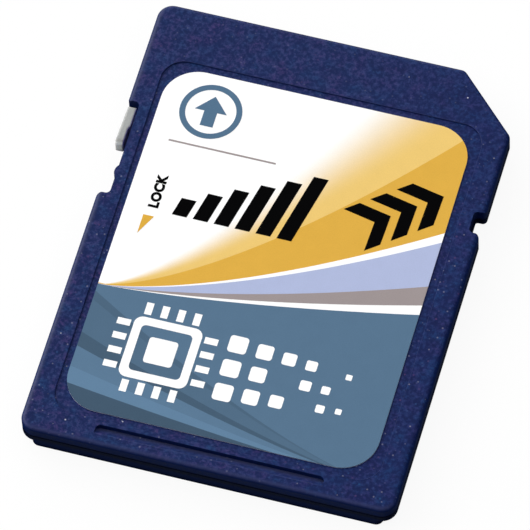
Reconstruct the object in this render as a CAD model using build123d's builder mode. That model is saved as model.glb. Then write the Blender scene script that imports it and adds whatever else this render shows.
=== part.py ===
from build123d import *

from math import sqrt
import os

os.makedirs("parts", exist_ok=True)

# A flat memory card that lies on its back, with the label up (+Z).
# The contact end is towards +Y, the grip end towards -Y and the cut corner at +X.
# All sizes are millimetres, and the origin is the centre of the back face.

# Shell outline
card_width = 24.0
card_length = 32.0
card_thickness = 2.1
corner_radius = 1.0
cut_corner = 4.0
cut_corner_radius = 0.5
top_edge_radius = 0.32
back_edge_radius = 0.15

# Side rails, where the shell is narrower underneath
rail_width = 0.75
rail_height = 0.7
rail_corner_radius = 0.5

# Shell walls
side_wall = 1.2
contact_wall = 0.9
grip_wall = 1.8
cut_wall = 0.9
floor_thickness = 0.35
roof_thickness = 0.25
cavity_radius = 0.5
seam_chamfer = 0.12

# Label and the recess that it lies in
label_from_sides = 2.04
label_offset = -0.09
label_from_contact_end = 4.43
label_from_grip_end = 2.21
label_radius = 2.35
label_thickness = 0.08
recess_margin = 0.5
recess_radius = 1.5
recess_depth = 0.1
recess_chamfer = 0.03

# Finger-nail catch: a wall towards the label and a ramp towards the grip end
catch_from_grip_end = 1.38
catch_from_sides = 4.7
catch_depth = 0.42
catch_run = 0.68
catch_corner_radius = 0.35

# Notches in the long edges
lock_notch_from_contact_end = 7.63
lock_notch_length = 6.92
lock_notch_depth = 0.8
lock_notch_lead_radius = 0.15
lock_notch_grip_radius = 0.4
side_notch_from_contact_end = 9.95
side_notch_length = 1.55
notch_radius = 0.3

# Lock slider: a knob in the notch, a neck through its wall and a flange behind it
slider_length = 2.78
slider_end_gap = 0.31
knob_taper = 0.09
knob_drop = 0.2
knob_lift = 0.2
knob_grip_radius = 0.35
knob_lead_radius = 0.1
knob_edge_radius = 0.12
head_length = 1.36
head_gap = 0.13
head_step = 0.12
head_slope = 0.29
neck_length = 1.0
neck_height = 0.4
flange_length = 2.4
flange_depth = 0.35
slider_clearance = 0.05

# Detent bump on the floor of the lock notch: the knob's tail passes it, its head stops there
detent_from_notch_end = 1.7
detent_height = 0.17
detent_half_length = 0.45

# Contacts, from the cut corner across to the other side
contact_from_sides = 2.4375
step_to_seven = 0.97
step_to_eight = 0.68
contact_rib = 0.6
narrow_rib = 0.4
contact_depth = 0.7
window_from_contact_end = 5.8
ninth_set_back = 2.0
window_border = 0.6
lead_in = 0.25
pad_thickness = 0.05
pad_side_gap = 0.1
pad_end_gap = 0.3
pad_edge_gap = 0.15
pad_radius = 0.15

# Circuit board and what holds it
board_thickness = 0.35
board_clearance = 0.1
board_play = 0.03
board_slider_gap = 0.2
ledge_width = 0.6
floor_rib_width = 0.5
floor_rib_from_middle = 4.0
clamp_rib_width = 0.6
clamp_rib_from_sides = 5.0
clamp_from_board_ends = 1.4

# Packages on the board
chip_clearance = 0.06
chip_chamfer = 0.1
pin_one_chamfer = 0.5
controller_size = 6.0
controller_gap = 0.5
flash_gap = 2.5
flash_from_grip_edge = 2.1
flash_from_sides = 2.2
flash_standoff = 0.05
lead_pitch = 0.5
lead_width = 0.2
lead_thickness = 0.1
lead_reach = 0.8
lead_foot = 0.35
lead_shoulder = 0.2
capacitor_length = 1.0
capacitor_width = 0.5
capacitor_height = 0.4
capacitor_from_controller = 3.0
capacitor_spacing = 3.2
resistor_length = 1.0
resistor_width = 0.5
resistor_height = 0.3
resistor_spacing = 2.5
resistor_from_windows = 0.7
resistor_count = 4
end_cap_length = 0.25
end_cap_lip = 0.02

# Levels and edges worked out from the sizes above
half_width = card_width / 2
half_length = card_length / 2
cut_sum = half_width + half_length - cut_corner
board_seat = contact_depth + pad_thickness
board_top = board_seat + board_thickness
seam_height = board_top + board_play
ceiling = card_thickness - recess_depth - roof_thickness
chip_top = ceiling - chip_clearance

cavity_right = half_width - side_wall
cavity_lead = half_length - contact_wall
cavity_grip = -half_length + grip_wall
cavity_cut_sum = cut_sum - cut_wall * sqrt(2)
board_right = cavity_right - board_clearance
board_lead = cavity_lead - board_clearance
board_grip = cavity_grip + board_clearance
board_cut_sum = cavity_cut_sum - board_clearance * sqrt(2)
board_radius = cavity_radius

label_width = card_width - 2 * label_from_sides
label_length = card_length - label_from_contact_end - label_from_grip_end
label_middle = (label_from_grip_end - label_from_contact_end) / 2
label_bottom = card_thickness - recess_depth
catch_wall = -half_length + catch_from_grip_end
catch_length = card_width - 2 * catch_from_sides

lock_notch_lead = half_length - lock_notch_from_contact_end
lock_notch_grip = lock_notch_lead - lock_notch_length
lock_notch_middle = lock_notch_lead - lock_notch_length / 2
lock_notch_floor = -half_width + lock_notch_depth
lock_notch_wall = -cavity_right - lock_notch_floor
side_notch_middle = half_length - side_notch_from_contact_end - side_notch_length / 2

slider_lead = lock_notch_lead - slider_end_gap
slider_grip = slider_lead - slider_length
head_grip = slider_lead - head_length
neck_middle = slider_lead - head_length / 2
knob_outer = -half_width
head_inner = lock_notch_floor - head_gap
tail_inner = head_inner - head_step
knob_bottom = rail_height + knob_lift
knob_top = card_thickness - knob_drop
detent_middle = lock_notch_grip + detent_from_notch_end
detent_peak = lock_notch_floor - detent_height
detent_radius = (detent_half_length**2 + detent_height**2) / (2 * detent_height)
travel_to_notch_end = lock_notch_length - slider_length - 2 * slider_end_gap
travel_to_detent = head_grip - detent_middle - detent_half_length - slider_clearance
slider_travel = min(travel_to_notch_end, travel_to_detent)
track_middle = neck_middle - slider_travel / 2
flange_outer = -cavity_right + slider_clearance
flange_inner = flange_outer + flange_depth
flange_bottom = board_seat + slider_clearance
flange_top = ceiling - slider_clearance
neck_bottom = seam_height - neck_height / 2
slot_length = neck_length + slider_travel + 2 * slider_clearance
slot_half_height = neck_height / 2 + slider_clearance

# Contact numbers from the cut corner, each with its step from the one before in pitches
contact_order = [9, 1, 2, 3, 4, 5, 6, 7, 8]
contact_steps = [0, 1, 1, 1, 1, 1, 1, step_to_seven, step_to_eight]
contact_pitch = (card_width - 2 * contact_from_sides) / sum(contact_steps)
contact_x = {}
next_x = half_width - contact_from_sides
for number, step in zip(contact_order, contact_steps):
    next_x = next_x - step * contact_pitch
    contact_x[number] = next_x
wide_window = contact_pitch - contact_rib
narrow_window = step_to_eight * contact_pitch - narrow_rib
window_end = half_length - window_from_contact_end
window_block_end = window_end - ninth_set_back - window_border

resistor_row = window_end - resistor_from_windows
controller_lead = resistor_row - resistor_length / 2 - controller_gap
controller_middle = controller_lead - controller_size / 2
flash_lead = controller_lead - controller_size - flash_gap
flash_grip = board_grip + flash_from_grip_edge
flash_width = flash_lead - flash_grip
flash_middle = (flash_lead + flash_grip) / 2
flash_right = board_right - flash_from_sides - lead_reach
flash_bottom = board_top + flash_standoff
clamp_length = card_width - 2 * clamp_rib_from_sides
clamp_rows = [
    board_lead - clamp_from_board_ends,
    window_end + clamp_rib_width,
    board_grip + clamp_from_board_ends - clamp_rib_width / 2,
]


def window_width(number):
    """Give the width of a contact's window, which is narrow for the last two."""
    return narrow_window if number in (7, 8) else wide_window


def window_start(number):
    """Give the end of a contact's window towards the grip, which is set back for contact 9."""
    return window_end - ninth_set_back if number == 9 else window_end


def pad_lead(number):
    """Give the end of a contact towards the leading edge, clear of the board's cut corner."""
    pad_right = contact_x[number] + window_width(number) / 2 - pad_side_gap
    at_edge = board_lead - pad_edge_gap
    at_cut = board_cut_sum - pad_right - pad_edge_gap * sqrt(2)
    return min(at_edge, at_cut)


def cut_rectangle(right, grip, lead, corner_sum, radius, cut_radius):
    """Draw a rounded rectangle whose corner at right and lead is cut along x + y = corner_sum."""
    Polygon(
        (-right, grip),
        (right, grip),
        (right, corner_sum - right),
        (corner_sum - lead, lead),
        (-right, lead),
        align=None,
    )
    towards_cut = Axis((0, 0, 0), (1, 1, 0))
    fillet(vertices().sort_by(towards_cut)[:3], radius)
    fillet(vertices().sort_by(towards_cut)[-2:], cut_radius)


def plain_outline():
    """Draw the outline of the card without its notches."""
    cut_rectangle(half_width, -half_length, half_length, cut_sum, corner_radius, cut_corner_radius)


def card_outline():
    """Draw the outline of the card with its two notches."""
    plain_outline()
    with Locations((-half_width, lock_notch_middle)):
        Rectangle(2 * lock_notch_depth, lock_notch_length, mode=Mode.SUBTRACT)
    with Locations((half_width, side_notch_middle)):
        Rectangle(2 * rail_width, side_notch_length, mode=Mode.SUBTRACT)
    fillet(vertices().sort_by_distance((lock_notch_floor, lock_notch_lead))[0], notch_radius)
    fillet(vertices().sort_by_distance((lock_notch_floor, lock_notch_grip))[0], notch_radius)
    fillet(vertices().sort_by_distance((-half_width, lock_notch_lead))[0], lock_notch_lead_radius)
    fillet(vertices().sort_by_distance((-half_width, lock_notch_grip))[0], lock_notch_grip_radius)
    fillet(vertices().sort_by_distance((half_width, side_notch_middle))[:4], notch_radius)


def cavity_outline():
    """Draw the outline of the space between the two covers."""
    cut_rectangle(cavity_right, cavity_grip, cavity_lead, cavity_cut_sum, cavity_radius, cavity_radius)


def slider_slot():
    """Draw the slot that the slider's neck runs in, through the wall of the lock notch."""
    with Locations((lock_notch_floor + lock_notch_wall / 2, track_middle)):
        Rectangle(2 * lock_notch_wall, slot_length)


# Back cover: a narrow layer between the rails, then the full width up to the seam
with BuildPart() as back_cover:
    with BuildSketch():
        cut_rectangle(
            half_width - rail_width, -half_length, half_length, cut_sum, rail_corner_radius, cut_corner_radius
        )
    extrude(amount=rail_height)
    fillet(back_cover.edges().group_by(Axis.Z)[0], back_edge_radius)
    with BuildSketch(Plane.XY.offset(rail_height)):
        card_outline()
    extrude(amount=seam_height - rail_height)
    # The lock notch goes on down through the narrow layer
    with BuildSketch():
        with Locations((-half_width, lock_notch_middle)):
            Rectangle(2 * lock_notch_depth, lock_notch_length)
    extrude(amount=rail_height, mode=Mode.SUBTRACT)
    # Space under the board, with a ledge, two long ribs and a block round the windows
    with BuildSketch(Plane.XY.offset(floor_thickness)):
        cavity_outline()
    extrude(amount=seam_height - floor_thickness, mode=Mode.SUBTRACT)
    open_length = window_block_end - cavity_grip - ledge_width
    open_middle = window_block_end - open_length / 2
    with BuildSketch(Plane.XY.offset(floor_thickness)):
        cavity_outline()
        with Locations((0, open_middle)):
            RectangleRounded(
                2 * (cavity_right - ledge_width), open_length, cavity_radius, mode=Mode.SUBTRACT
            )
        with Locations((-floor_rib_from_middle, open_middle), (floor_rib_from_middle, open_middle)):
            Rectangle(floor_rib_width, open_length)
    extrude(amount=board_seat - floor_thickness)
    # Contact windows, open towards the leading edge, with room for the pads above
    with BuildSketch():
        for number in contact_order:
            with Locations((contact_x[number], window_start(number))):
                Rectangle(
                    window_width(number), card_length, align=(Align.CENTER, Align.MIN)
                )
    extrude(amount=contact_depth, mode=Mode.SUBTRACT)
    with BuildSketch(Plane.XY.offset(contact_depth)):
        for number in contact_order:
            with Locations((contact_x[number], window_start(number))):
                Rectangle(
                    window_width(number),
                    pad_lead(number) + pad_edge_gap - window_start(number),
                    align=(Align.CENTER, Align.MIN),
                )
    extrude(amount=pad_thickness, mode=Mode.SUBTRACT)
    # Slopes that lead the socket's springs in under the leading edge
    for number in contact_order[1:]:
        with BuildSketch(Plane.YZ.offset(contact_x[number])):
            Polygon(
                (half_length, contact_depth),
                (half_length, contact_depth + lead_in),
                (half_length - lead_in, contact_depth),
                align=None,
            )
        extrude(amount=window_width(number) / 2, both=True, mode=Mode.SUBTRACT)
    # Lower half of the slot for the slider's neck
    with BuildSketch(Plane.XY.offset(seam_height)):
        slider_slot()
    extrude(amount=-slot_half_height, mode=Mode.SUBTRACT)
back_cover.part.label = "back_cover"
export_step(back_cover.part, "parts/back_cover.step")

# Front cover: the full width from the seam up to the label side
with BuildPart() as front_cover:
    with BuildSketch(Plane.XY.offset(seam_height)):
        plain_outline()
    extrude(amount=card_thickness - seam_height)
    fillet(front_cover.faces().sort_by(Axis.Z)[-1].edges(), top_edge_radius)
    # The notches cut through the rounded rim and keep crisp edges
    with BuildSketch(Plane.XY.offset(seam_height)):
        card_outline()
    extrude(amount=card_thickness - seam_height, mode=Mode.INTERSECT)
    # Groove along the seam, under the lower edge of this cover
    chamfer(front_cover.faces().sort_by(Axis.Z)[0].outer_wire().edges(), seam_chamfer)
    # Label recess, with a sloping rim
    with BuildSketch(Plane.XY.offset(card_thickness)):
        with Locations((0, label_middle)):
            RectangleRounded(
                label_width + 2 * recess_margin, label_length + 2 * recess_margin, recess_radius
            )
    extrude(amount=-recess_depth, mode=Mode.SUBTRACT)
    chamfer(front_cover.faces().sort_by(Axis.Z)[-1].inner_wires().edges(), recess_chamfer)
    # Finger-nail catch, with rounded ends along its wall
    with BuildSketch(Plane.YZ.offset(-catch_length / 2)):
        Polygon(
            (catch_wall, card_thickness),
            (catch_wall, card_thickness - catch_depth),
            (catch_wall - catch_run, card_thickness),
            align=None,
        )
    extrude(amount=catch_length, mode=Mode.SUBTRACT)
    upright_edges = front_cover.edges().filter_by(Axis.Z)
    catch_corners = upright_edges.sort_by_distance((0, catch_wall, card_thickness))[:2]
    fillet(catch_corners, catch_corner_radius)
    # Space over the board, with ribs that hold the board down
    with BuildSketch(Plane.XY.offset(seam_height)):
        cavity_outline()
    extrude(amount=ceiling - seam_height, mode=Mode.SUBTRACT)
    with BuildSketch(Plane.XY.offset(board_top)):
        with Locations(*[(0, row) for row in clamp_rows]):
            Rectangle(clamp_length, clamp_rib_width)
    extrude(amount=ceiling - board_top)
    # Upper half of the slot for the slider's neck
    with BuildSketch(Plane.XY.offset(seam_height)):
        slider_slot()
    extrude(amount=slot_half_height, mode=Mode.SUBTRACT)
    # Detent bump from that slot up to the label side
    with BuildSketch(Plane.XY.offset(seam_height + slot_half_height)):
        with Locations((detent_peak + detent_radius, detent_middle)):
            Circle(detent_radius)
        with Locations((detent_peak, detent_middle)):
            Rectangle(
                detent_height + lock_notch_wall / 2,
                2 * detent_radius,
                align=(Align.MIN, Align.CENTER),
                mode=Mode.INTERSECT,
            )
    extrude(amount=card_thickness - seam_height - slot_half_height)
front_cover.part.label = "front_cover"
export_step(front_cover.part, "parts/front_cover.step")

# Label, with a bare margin round it in the recess
with BuildPart() as label:
    with BuildSketch(Plane.XY.offset(label_bottom)):
        with Locations((label_offset, label_middle)):
            RectangleRounded(label_width, label_length, label_radius)
    extrude(amount=label_thickness)
label.part.label = "label"
export_step(label.part, "parts/label.step")

# Lock slider, at its unlocked end
with BuildPart() as lock_slider:
    # Knob with a wider head at the contact end, and drawn in a little there on its outer side
    with BuildSketch(Plane.XY.offset(knob_bottom)):
        Polygon(
            (knob_outer, slider_grip),
            (tail_inner, slider_grip),
            (tail_inner, head_grip - head_slope),
            (head_inner, head_grip),
            (head_inner, slider_lead),
            (knob_outer + knob_taper, slider_lead),
            align=None,
        )
        fillet(vertices().sort_by_distance((knob_outer + knob_taper, slider_lead))[0], knob_lead_radius)
    extrude(amount=knob_top - knob_bottom)
    # The grip end rounds over from the top
    with BuildSketch(Plane.YZ.offset(knob_outer)):
        with Locations((slider_grip, knob_bottom)):
            Rectangle(slider_length, knob_top - knob_bottom, align=(Align.MIN, Align.MIN))
        fillet(vertices().sort_by_distance((slider_grip, knob_top))[0], knob_grip_radius)
    extrude(amount=lock_notch_depth, mode=Mode.INTERSECT)
    fillet(lock_slider.faces().sort_by(Axis.Z)[-1].edges().sort_by(Axis.Y)[1:], knob_edge_radius)
    # Neck from the head through the slot, and the flange that keeps it there
    with BuildSketch(Plane.XY.offset(neck_bottom)):
        with Locations((head_inner, neck_middle)):
            Rectangle(flange_outer - head_inner, neck_length, align=(Align.MIN, Align.CENTER))
    extrude(amount=neck_height)
    with BuildSketch(Plane.XY.offset(flange_bottom)):
        with Locations((flange_outer, neck_middle)):
            Rectangle(flange_depth, flange_length, align=(Align.MIN, Align.CENTER))
    extrude(amount=flange_top - flange_bottom)
lock_slider.part.label = "lock_slider"
export_step(lock_slider.part, "parts/lock_slider.step")

# Circuit board, cut out where the slider's flange runs
with BuildPart() as circuit_board:
    with BuildSketch(Plane.XY.offset(board_seat)):
        cut_rectangle(board_right, board_grip, board_lead, board_cut_sum, board_radius, board_radius)
        with Locations((flange_inner + board_slider_gap, track_middle)):
            Rectangle(
                side_wall,
                flange_length + slider_travel + 2 * board_slider_gap,
                align=(Align.MAX, Align.CENTER),
                mode=Mode.SUBTRACT,
            )
    extrude(amount=board_thickness)
circuit_board.part.label = "circuit_board"
export_step(circuit_board.part, "parts/circuit_board.step")

# Contact pads on the underside of the board, bare in the windows
for number in contact_order:
    with BuildPart() as contact_pad:
        pad_start = window_start(number) + pad_end_gap
        with BuildSketch(Plane.XY.offset(contact_depth)):
            with Locations((contact_x[number], pad_start)):
                RectangleRounded(
                    window_width(number) - 2 * pad_side_gap,
                    pad_lead(number) - pad_start,
                    pad_radius,
                    align=(Align.CENTER, Align.MIN),
                )
        extrude(amount=pad_thickness)
    contact_pad.part.label = f"contact_pad_{number}"
    export_step(contact_pad.part, f"parts/contact_pad_{number}.step")

# Controller package, with its first corner marked by a chamfer
with BuildPart() as controller_chip:
    with BuildSketch(Plane.XY.offset(board_top)):
        with Locations((0, controller_middle)):
            Rectangle(controller_size, controller_size)
        chamfer(vertices().group_by(Axis.X)[0].sort_by(Axis.Y)[-1], pin_one_chamfer)
    extrude(amount=chip_top - board_top)
    chamfer(controller_chip.faces().sort_by(Axis.Z)[-1].edges(), chip_chamfer)
controller_chip.part.label = "controller_chip"
export_step(controller_chip.part, "parts/controller_chip.step")

# Flash memory package, held off the board by its leads
with BuildPart() as flash_chip:
    with BuildSketch(Plane.XY.offset(flash_bottom)):
        with Locations((0, flash_middle)):
            Rectangle(2 * flash_right, flash_width)
        chamfer(vertices().group_by(Axis.X)[0].sort_by(Axis.Y)[-1], pin_one_chamfer)
    extrude(amount=chip_top - flash_bottom)
    chamfer(flash_chip.faces().sort_by(Axis.Z)[-1].edges(), chip_chamfer)
flash_chip.part.label = "flash_chip"
export_step(flash_chip.part, "parts/flash_chip.step")

# One bent lead, then a row of them on each side of the flash memory
lead_level = (flash_bottom + chip_top) / 2
lead_knee = flash_right + lead_shoulder
lead_tip = flash_right + lead_reach
lead_heel = lead_tip - lead_foot
with BuildPart() as lead:
    with BuildSketch(Plane.XZ):
        Polygon(
            (flash_right, lead_level - lead_thickness / 2),
            (lead_knee - lead_thickness / 2, lead_level - lead_thickness / 2),
            (lead_heel - lead_thickness / 2, board_top),
            (lead_tip, board_top),
            (lead_tip, board_top + lead_thickness),
            (lead_heel + lead_thickness / 2, board_top + lead_thickness),
            (lead_knee + lead_thickness / 2, lead_level + lead_thickness / 2),
            (flash_right, lead_level + lead_thickness / 2),
            align=None,
        )
    extrude(amount=lead_width / 2, both=True)

lead_count = round((flash_width - 2 * pin_one_chamfer) / lead_pitch)
with BuildPart() as flash_leads:
    with Locations((0, flash_middle)):
        with GridLocations(0, lead_pitch, 1, lead_count):
            add(lead.part)
    mirror(about=Plane.YZ)
flash_leads.part.label = "flash_leads"
export_step(flash_leads.part, "parts/flash_leads.step")


def chip_component(length, width, height):
    """Add a small two-ended component with metal caps that stand a little proud of its body."""
    Box(length, width - 2 * end_cap_lip, height - end_cap_lip, align=(Align.CENTER, Align.CENTER, Align.MIN))
    cap_offset = (length - end_cap_length) / 2
    with Locations((-cap_offset, 0), (cap_offset, 0)):
        Box(end_cap_length, width, height, align=(Align.CENTER, Align.CENTER, Align.MIN))


# Capacitors on both sides of the controller
capacitor_x = controller_size / 2 + capacitor_from_controller
capacitor_places = GridLocations(2 * capacitor_x, capacitor_spacing, 2, 2)
for index, place in enumerate(capacitor_places):
    with BuildPart(Plane.XY.offset(board_top)) as capacitor:
        with Locations((place.position.X, controller_middle + place.position.Y)):
            chip_component(capacitor_length, capacitor_width, capacitor_height)
    capacitor.part.label = f"capacitor_{index + 1}"
    export_step(capacitor.part, f"parts/capacitor_{index + 1}.step")

# Resistors in a row behind the contact windows
resistor_places = GridLocations(resistor_spacing, 0, resistor_count, 1)
for index, place in enumerate(resistor_places):
    with BuildPart(Plane.XY.offset(board_top)) as resistor:
        with Locations(Location((place.position.X, resistor_row, 0), (0, 0, 90))):
            chip_component(resistor_length, resistor_width, resistor_height)
    resistor.part.label = f"resistor_{index + 1}"
    export_step(resistor.part, f"parts/resistor_{index + 1}.step")
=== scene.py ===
import math

import bmesh
import bpy
from bpy.props import FloatProperty, FloatVectorProperty, IntProperty, PointerProperty
from mathutils import Matrix, Vector


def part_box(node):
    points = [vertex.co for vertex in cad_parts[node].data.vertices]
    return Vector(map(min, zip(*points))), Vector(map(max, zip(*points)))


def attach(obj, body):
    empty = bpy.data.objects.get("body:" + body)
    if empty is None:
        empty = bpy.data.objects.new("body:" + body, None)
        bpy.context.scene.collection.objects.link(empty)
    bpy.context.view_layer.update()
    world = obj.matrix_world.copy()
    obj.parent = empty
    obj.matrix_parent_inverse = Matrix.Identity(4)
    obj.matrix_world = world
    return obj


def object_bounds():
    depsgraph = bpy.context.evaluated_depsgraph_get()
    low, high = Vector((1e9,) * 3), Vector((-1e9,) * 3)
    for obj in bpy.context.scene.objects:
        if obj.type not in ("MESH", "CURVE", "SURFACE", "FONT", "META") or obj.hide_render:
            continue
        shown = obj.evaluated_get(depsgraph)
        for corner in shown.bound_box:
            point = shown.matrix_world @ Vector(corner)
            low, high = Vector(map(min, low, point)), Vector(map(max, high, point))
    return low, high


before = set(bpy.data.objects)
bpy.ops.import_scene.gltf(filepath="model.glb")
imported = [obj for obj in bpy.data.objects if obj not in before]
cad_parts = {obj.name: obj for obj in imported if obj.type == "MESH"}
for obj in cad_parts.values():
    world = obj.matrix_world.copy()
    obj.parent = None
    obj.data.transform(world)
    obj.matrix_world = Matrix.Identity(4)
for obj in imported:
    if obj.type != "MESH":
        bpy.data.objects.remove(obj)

bl_info = {
    "name": "Memory card looks",
    "version": (1, 0, 0),
    "blender": (4, 5, 0),
    "location": "View3D > Sidebar > Memory card",
    "description": "Moulded shell, printed label, gold contacts and studio of a memory card",
    "category": "Object",
}

MM = 0.001
CAD_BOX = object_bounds()
LABEL_LOW, LABEL_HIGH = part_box("label")
LABEL_LEFT = LABEL_LOW.x / MM
LABEL_WIDTH = LABEL_HIGH.x / MM - LABEL_LEFT
LABEL_FOOT = LABEL_LOW.y / MM
LABEL_HEAD = LABEL_HIGH.y / MM
LABEL_FACE = LABEL_HIGH.z / MM
INK_SINK = 0.003
CAPITAL_SHARE = 0.73
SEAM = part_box("back_cover")[1].z / MM
TOP = CAD_BOX[1].z / MM
LEFT = CAD_BOX[0].x / MM
FRONT = CAD_BOX[0].y / MM
SLIDER_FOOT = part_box("lock_slider")[0].y / MM

# Tinned caps, as shares of a small component's length
CAPACITOR_CAP = 0.22
RESISTOR_CAP = 0.20

# Linear colours and tints of the marks on the shell, and of painted light and shade: painted shade towards
# the far long side, painted sheen in the nail catch, painted highlights on the left and front edges, and
# painted shade in the slider's gap
FROST = Vector((0.029, 0.023, 0.027))
VIOLET_FLECK = Vector((0.034, 0.016, 0.020))
BLUE_FLECK = Vector((0.006, 0.024, 0.044))
COOL_DRIFT = (0.40, 1.15, 1.04)
WARM_DRIFT = (1.52, 0.85, 0.96)
FAR_SIDE_SHADE = (0.50, 0.78, 0.93)
CATCH_SHEEN = (0.060, 0.070, 0.165)
SIDE_PAINTED_HIGHLIGHT = (0.040, 0.047, 0.100)
FRONT_PAINTED_SHEEN = (0.046, 0.058, 0.170)
GAP_PAINTED_SHADE = (0.16, 0.14, 0.42)

# Painted shade in the seam and at the walls' foot, and painted light at the slider's end
SEAM_SHADE_TONE = 0.34
FOOT_SHADE_LOSS = 0.55
END_PAINTED_LIGHT = 2.3

# Floor brightness, as the camera, the card's walls and their mirror images meet it
FLOOR_GLOW = 0.96
FLOOR_SHADOWED = 0.08
FLOOR_THROWN = 0.06
MIRROR_FRONT = 0.26
MIRROR_RIGHT = 0.14
MIRROR_TINT = (0.62, 0.74, 1.0)

# Soft light and glow, in metres and as a direction
ROOF_PLACE = (-0.03, 0.03, 0.30)
ROOF_SIZE = 0.90
SENSOR_WIDTH = 36.0
FLOOR_HALF = 1.2
GLOW_FROM = (-0.86, 0.5, 0.0)


def screen(red, green, blue):
    """Turns a colour as a screen shows it, 0 to 255, into the linear one that shaders use."""
    parts = (red / 255.0, green / 255.0, blue / 255.0)
    return tuple(c / 12.92 if c <= 0.04045 else ((c + 0.055) / 1.055) ** 2.4 for c in parts)


def colour_choice(name, description, red, green, blue):
    """A colour that the user can change."""
    return FloatVectorProperty(name=name, description=description, subtype="COLOR", size=3,
                               min=0.0, max=1.0, default=screen(red, green, blue))


def size_choice(name, description, millimetres):
    """A length that the user can change."""
    return FloatProperty(name=name, description=description, subtype="DISTANCE", unit="LENGTH",
                         min=0.0, precision=5, default=millimetres * MM)


def share_choice(name, description, default):
    """A share between nothing and all that the user can change."""
    return FloatProperty(name=name, description=description, subtype="FACTOR",
                         min=0.0, max=1.0, default=default)


class ShellLooks(bpy.types.PropertyGroup):
    """Finish of the moulded covers and of the lock slider."""

    navy: colour_choice("Shell", "Colour of the moulded covers", 6, 28, 79)
    slider_grey: colour_choice("Slider", "Colour of the lock slider", 164, 166, 165)
    dust: colour_choice("Dust", "Colour of the dust specks on the shell", 208, 208, 226)
    grain_size: size_choice("Grain", "Size of the spark eroded grain", 0.22)
    grain_depth: size_choice("Grain depth", "Depth of the spark eroded grain", 0.010)
    grain_contrast: share_choice("Grain contrast", "How much the grain shades the colour", 0.30)
    roughness: share_choice("Roughness", "Roughness of the moulded plastic", 0.45)


class LabelLooks(bpy.types.PropertyGroup):
    """Print on the label."""

    paper: colour_choice("Paper", "White ground of the label", 250, 250, 250)
    film_edge: colour_choice("Film edge", "Cut edge of the label film", 176, 182, 205)
    gold: colour_choice("Gold", "Solid gold sweep", 216, 168, 66)
    pale_gold: colour_choice("Pale gold", "Gold that fades into the white ground", 230, 194, 112)
    lavender: colour_choice("Lavender", "Lavender sweep", 170, 180, 213)
    warm_grey: colour_choice("Warm grey", "Thin grey sweep", 152, 142, 142)
    slate: colour_choice("Slate", "Lower field", 82, 111, 137)
    black: colour_choice("Black ink", "Marks in black", 4, 4, 5)
    sweep_foot: FloatProperty(name="Sweep foot", description="Height on the card where all sweeps start",
                              subtype="DISTANCE", unit="LENGTH", default=-5.0 * MM)
    sweep_bend: FloatProperty(name="Sweep bend", description="How strongly the sweeps curve upward",
                              min=1.0, max=3.0, default=1.45)
    ink_height: size_choice("Ink height", "How far the ink stands on the film", 0.008)
    bar_count: IntProperty(name="Level bars", description="Number of black level bars",
                           min=2, max=9, default=6)
    bar_width: size_choice("Bar width", "Width of a level bar", 0.96)
    bar_pitch: size_choice("Bar pitch", "Distance from one level bar to the next", 1.36)
    chevron_height: size_choice("Chevron height", "Height of a black chevron", 3.3)
    chip_side: size_choice("Chip side", "Side of the white chip picture", 4.4)
    lock_letter: size_choice("Lock letters", "Height of the letters beside the slider", 0.62)


class InsideLooks(bpy.types.PropertyGroup):
    """Finish of the contacts, the board and its components."""

    gold_plate: colour_choice("Gold plate", "Plating of the contacts", 226, 178, 92)
    lacquer: colour_choice("Lacquer", "Solder lacquer of the board", 22, 84, 52)
    epoxy: colour_choice("Epoxy", "Moulding of the chip packages", 34, 34, 37)
    tin: colour_choice("Tin", "Tinned leads", 196, 198, 200)
    capacitor: colour_choice("Capacitor", "Body of a capacitor", 158, 124, 92)
    resistor: colour_choice("Resistor", "Body of a resistor", 30, 31, 34)


class StudioLooks(bpy.types.PropertyGroup):
    """Floor, lights and camera."""

    floor: colour_choice("Floor", "Pale floor", 250, 250, 250)
    roof_strength: FloatProperty(name="Roof light", description="Strength of the wide soft light above",
                                 unit="POWER", min=0.0, default=1.85)
    side_glow: FloatProperty(name="Side glow", description="Brightness of the surround at the slider's side",
                             min=0.0, default=4.0)
    surround: FloatProperty(name="Surround", description="Light from all around", min=0.0, default=0.13)
    lens: FloatProperty(name="Lens", description="Focal length of the camera", subtype="DISTANCE_CAMERA",
                        unit="CAMERA", min=20.0, default=508.05)
    azimuth: FloatProperty(name="Azimuth", description="Turn of the camera round the card",
                           subtype="ANGLE", default=math.radians(18.42))
    elevation: FloatProperty(name="Elevation", description="Height of the camera above the floor",
                             subtype="ANGLE", default=math.radians(59.52))
    roll: FloatProperty(name="Roll", description="Tilt of the camera about its view",
                        subtype="ANGLE", default=math.radians(-3.11))
    distance: size_choice("Distance", "Distance from the camera to the card", 468.0)
    aim: FloatVectorProperty(name="Aim", description="Point that the camera looks at", subtype="XYZ",
                             unit="LENGTH", size=3, default=(-0.71 * MM, 0.01 * MM, 0.17 * MM))


class CardLooks(bpy.types.PropertyGroup):
    """All choices for the memory card."""

    shell: PointerProperty(type=ShellLooks)
    label: PointerProperty(type=LabelLooks)
    inside: PointerProperty(type=InsideLooks)
    studio: PointerProperty(type=StudioLooks)


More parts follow.
